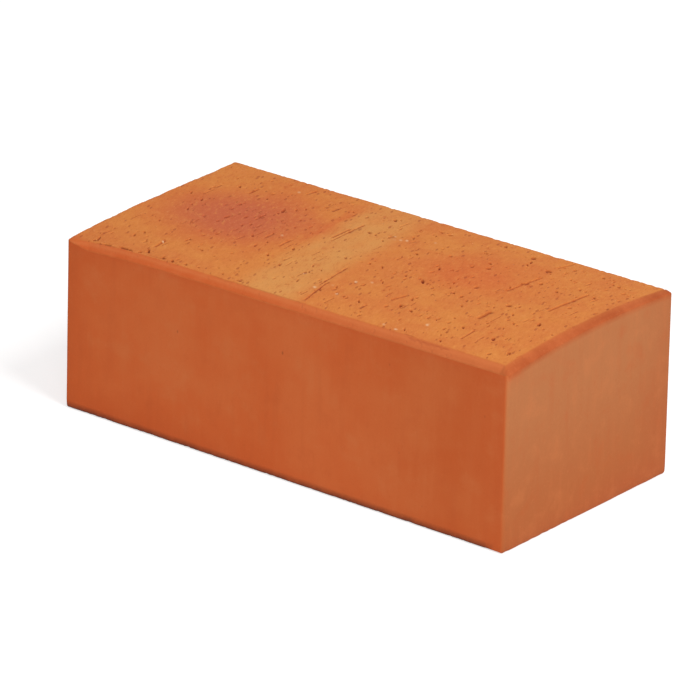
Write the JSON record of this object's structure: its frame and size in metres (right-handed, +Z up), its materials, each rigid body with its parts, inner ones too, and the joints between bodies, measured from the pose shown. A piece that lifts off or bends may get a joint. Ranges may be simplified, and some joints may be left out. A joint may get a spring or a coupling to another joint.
{
  "type": "solid clay brick",
  "caption": "Solid rectangular brick of orange-red fired clay, its upper arris bevelled along the front stretcher and the near head, with a slightly crowned wire-cut bed.",
  "frame": {"origin": "centre of the lower bed, on the surface the brick lies on", "axes": "+X along the stretcher towards the crowned near head, +Y across the width towards the back stretcher, +Z up out of the upper bed"},
  "size_m": [0.25, 0.12, 0.0911],
  "materials": {
    "fired_clay": "matt wire-cut clay, orange-red, with drag marks on the bed and smooth die skin on the sides"
  },
  "bodies": {
    "root": {"brick": "fired_clay"}
  },
  "joints": []
}
